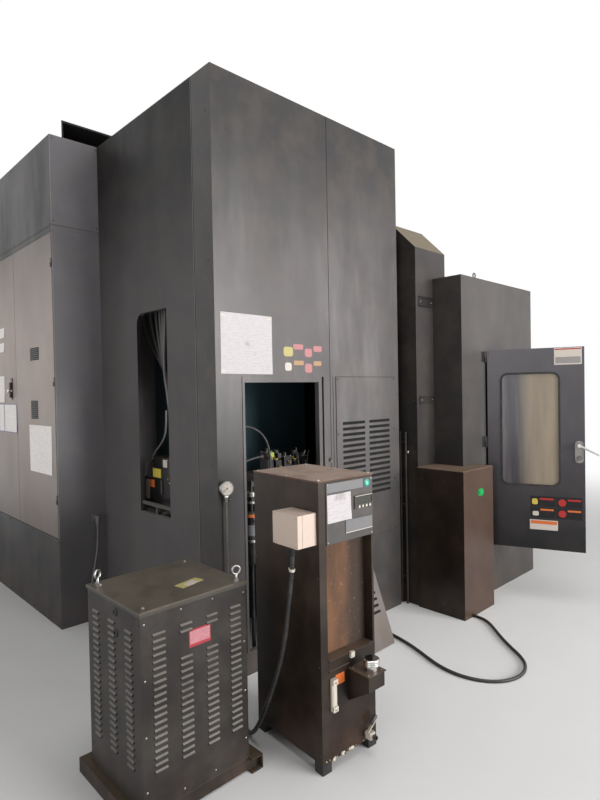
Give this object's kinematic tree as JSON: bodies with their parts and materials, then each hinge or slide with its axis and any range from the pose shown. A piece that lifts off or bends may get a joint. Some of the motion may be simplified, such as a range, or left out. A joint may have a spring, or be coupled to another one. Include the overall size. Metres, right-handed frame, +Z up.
{
  "type": "horizontal machining center",
  "caption": "Horizontal machining center: tall column enclosure, electrical cabinet, tower and tool magazine with an open windowed door, oil cooler and transformer.",
  "frame": {"origin": "near bottom corner of the tall column enclosure, on the floor", "axes": "+X to the right along the enclosure's front face, +Y away from it to the back, +Z up"},
  "size_m": [3.865, 4.0772, 3.553],
  "materials": {
    "charcoal_paint": "satin",
    "grey_paint": "satin",
    "casting_paint": "matte",
    "steel": "satin",
    "zinc_plate": "satin",
    "chrome": "polished",
    "rubber": "matte",
    "window_glass": "polished",
    "green_lens": "gloss",
    "filter_mesh": "matte",
    "white_plastic": "matte",
    "beige_plastic": "satin",
    "black_plastic": "satin",
    "black_cable": "matte",
    "hose_rubber": "matte",
    "grey_plastic": "matte",
    "grey_cable": "matte",
    "tube_metal": "satin"
  },
  "bodies": {
    "machine": {"front_panel_left": "charcoal_paint", "front_panel_right": "charcoal_paint", "louvred_cover": "charcoal_paint", "loose_cover": "grey_paint", "left_panel": "charcoal_paint", "side_sill": "charcoal_paint", "right_panel": "charcoal_paint", "column_roof": "charcoal_paint", "service_frame": "charcoal_paint", "column_casting": "casting_paint", "valve_manifold": "steel", "pressure_tank": "black_plastic", "pump_motor": "casting_paint", "pressure_gauge": "steel", "gauge_tube": "tube_metal", "rear_housing": "charcoal_paint", "low_housing": "charcoal_paint", "roof_hood": "charcoal_paint", "cabinet_plinth": "charcoal_paint", "cabinet_top": "charcoal_paint", "cabinet_walls": "charcoal_paint", "cabinet_back": "zinc_plate", "cabinet_hinges": "steel", "tower": "charcoal_paint", "tower_straps": "charcoal_paint", "magazine_front": "charcoal_paint", "magazine_sides": "charcoal_paint", "magazine_back": "charcoal_paint", "magazine_roof": "charcoal_paint", "door_hinges": "steel", "low_box": "charcoal_paint", "low_box_lamp": "green_lens", "cooler_body": "charcoal_paint", "cooler_lid": "charcoal_paint", "cooler_feet": "rubber", "cooler_screen": "filter_mesh", "cooler_control": "grey_paint", "cooler_filler": "charcoal_paint", "breather_cap": "chrome", "cooler_fittings": "white_plastic", "terminal_box": "beige_plastic", "transformer_skid": "charcoal_paint", "transformer_body": "charcoal_paint", "transformer_lid": "charcoal_paint", "lifting_eyes": "steel", "cooler_conduit": "black_cable", "floor_cable": "black_cable", "side_cables": "black_cable", "service_hoses": "hose_rubber", "tower_pipes": "steel", "cabinet_gland": "grey_plastic", "cabinet_cable": "grey_cable"},
    "cabinet_leaf_near": {"cabinet_door_near": "charcoal_paint"},
    "cabinet_leaf_far": {"cabinet_door_far": "charcoal_paint", "cabinet_handle": "chrome"},
    "magazine_leaf": {"magazine_door": "charcoal_paint", "door_gasket": "rubber", "door_glass": "window_glass", "lock_plate": "chrome"},
    "lever": {"door_lever": "chrome"}
  },
  "joints": [
    {"name": "magazine_door_hinge", "type": "hinge", "parent": "machine", "child": "magazine_leaf", "pos_m": [2.222, -0.373, 1.1], "axis": [0, 0, -1], "range_deg": [-68.6, 41.4]},
    {"name": "door_lever_turn", "type": "hinge", "parent": "magazine_leaf", "child": "lever", "pos_m": [2.45187, -0.95957, 1.165], "axis": [-0.9311, -0.3649, 0], "range_deg": [-50, 28]},
    {"name": "cabinet_near_hinge", "type": "hinge", "parent": "machine", "child": "cabinet_leaf_near", "pos_m": [-0.333, 1.4025, 1.65], "axis": [0, 0, 1], "range_deg": [0, 110]},
    {"name": "cabinet_far_hinge", "type": "hinge", "parent": "machine", "child": "cabinet_leaf_far", "pos_m": [-0.333, 2.9625, 1.65], "axis": [0, 0, -1], "range_deg": [0, 110]}
  ]
}
